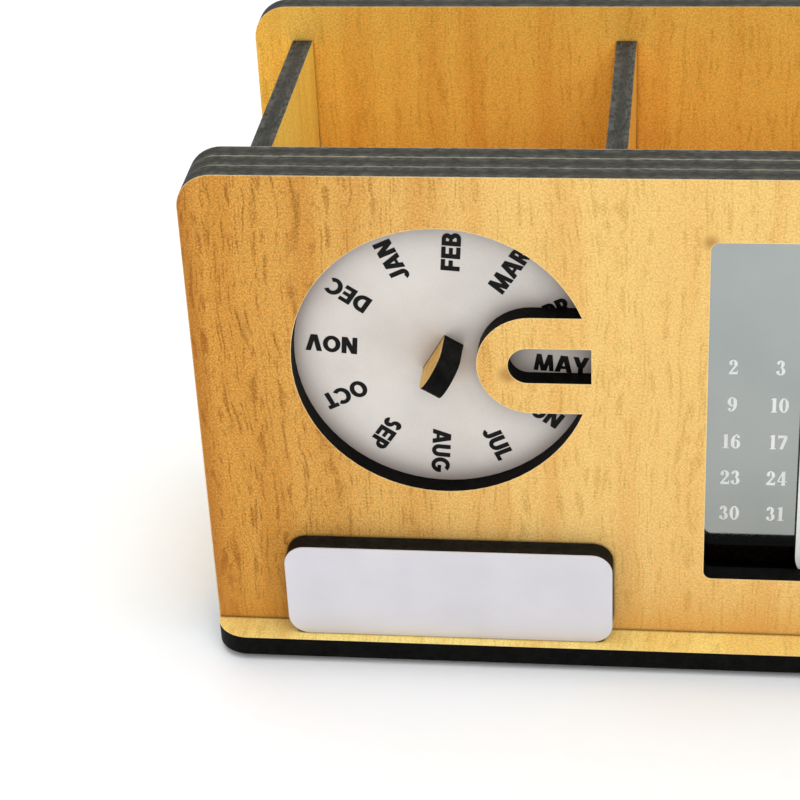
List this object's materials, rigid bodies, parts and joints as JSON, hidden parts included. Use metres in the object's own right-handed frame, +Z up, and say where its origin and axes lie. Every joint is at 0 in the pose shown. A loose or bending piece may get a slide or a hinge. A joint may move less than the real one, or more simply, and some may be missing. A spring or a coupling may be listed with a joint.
{
  "type": "perpetual desk calendar",
  "caption": "Upright desk organiser with pen compartments behind a front board that holds a turning month dial and a sliding weekday frame over a card of day numbers.",
  "frame": {"origin": "middle of the footprint, on the desk", "axes": "+X to the right along the front, +Y from the front to the back, +Z up"},
  "size_m": [0.171, 0.0592, 0.0827],
  "materials": {
    "veneered_board": "satin beech veneer on thin fibreboard, laser-cut edges burnt dark",
    "dial_board": "raw board with burnt edges",
    "slider_board": "burnt board edges",
    "name_plate_board": "burnt board edges",
    "dial_print": "satin white printed sheet",
    "slider_print": "satin white printed sheet",
    "name_plate_print": "satin white sheet",
    "silver_card": "grey mirror film with white numbers",
    "foam_pad": "matt black foam"
  },
  "bodies": {
    "housing": {"base_plate": "veneered_board", "front_panel": "veneered_board", "middle_layer": "veneered_board", "rear_layer": "veneered_board", "back_panel": "veneered_board", "left_side": "veneered_board", "left_divider": "veneered_board", "right_divider": "veneered_board", "right_side": "veneered_board", "foot_pad_front_left": "foam_pad", "foot_pad_rear_left": "foam_pad", "foot_pad_front_right": "foam_pad", "foot_pad_rear_right": "foam_pad", "number_card": "silver_card", "name_plate": "name_plate_board", "name_plate_face": "name_plate_print"},
    "dial": {"month_disc": "dial_board", "month_disc_face": "dial_print", "dial_tab": "dial_board"},
    "slider": {"slider_frame": "slider_board", "slider_face": "slider_print"}
  },
  "joints": [
    {"name": "dial_turn", "type": "hinge", "parent": "housing", "child": "dial", "pos_m": [-0.0505, -0.0201, 0.0486], "axis": [0, -1, 0], "continuous": true},
    {"name": "slider_slide", "type": "slide", "parent": "housing", "child": "slider", "axis": [1, 0, 0], "range_m": [-0.01965, 0.01965]}
  ]
}
